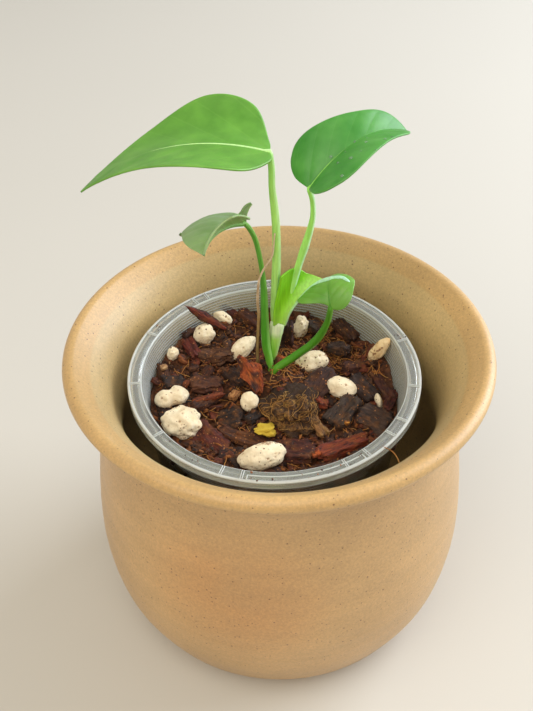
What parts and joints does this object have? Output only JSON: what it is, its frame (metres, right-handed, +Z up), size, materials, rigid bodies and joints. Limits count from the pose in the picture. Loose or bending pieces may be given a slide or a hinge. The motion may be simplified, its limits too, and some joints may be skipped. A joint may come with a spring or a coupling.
{
  "type": "potted monstera",
  "caption": "Young monstera with heart-shaped leaves, in a clear nursery pot of bark and pumice that stands in a round-bellied stoneware cover pot.",
  "frame": {"origin": "centre of the cover pot's flat foot, on the surface it rests on", "axes": "+Z up along the cover pot's axis; the pictured side faces -Y; +X to the right as pictured"},
  "size_m": [0.15, 0.15, 0.1945],
  "materials": {
    "stoneware": "matte speckled unglazed stoneware",
    "clear_plastic": "gloss, thin clear plastic",
    "bark_mix": "matte damp bark and coir",
    "pumice": "matte porous",
    "tan_pumice": "matte porous",
    "dark_bark": "satin damp bark",
    "orange_bark": "matte split bark",
    "root_and_moss": "matte rotted root with moss",
    "pale_stem": "satin living stem",
    "leaf": "satin living leaf",
    "dry_sheath": "matte papery"
  },
  "bodies": {
    "root": {"outer_pot": "stoneware", "nursery_pot": "clear_plastic", "potting_mix": "bark_mix", "pumice_back_left": "pumice", "pumice_far_left": "pumice", "pumice_by_stem": "pumice", "pumice_small_left": "pumice", "pumice_two_lobed": "pumice", "pumice_rough": "pumice", "pumice_centre": "pumice", "pumice_front": "pumice", "pumice_back_right": "pumice", "pumice_pitted": "pumice", "pumice_right": "pumice", "pumice_tan": "tan_pumice", "pumice_sliver": "pumice", "bark_chip_spear": "dark_bark", "bark_chip_orange": "orange_bark", "moss_lump": "root_and_moss", "stem_crown": "pale_stem", "leaf_left_large": "leaf", "leaf_right": "leaf", "leaf_left_small": "leaf", "leaf_low_right": "leaf", "dry_sheath": "dry_sheath"}
  },
  "joints": []
}
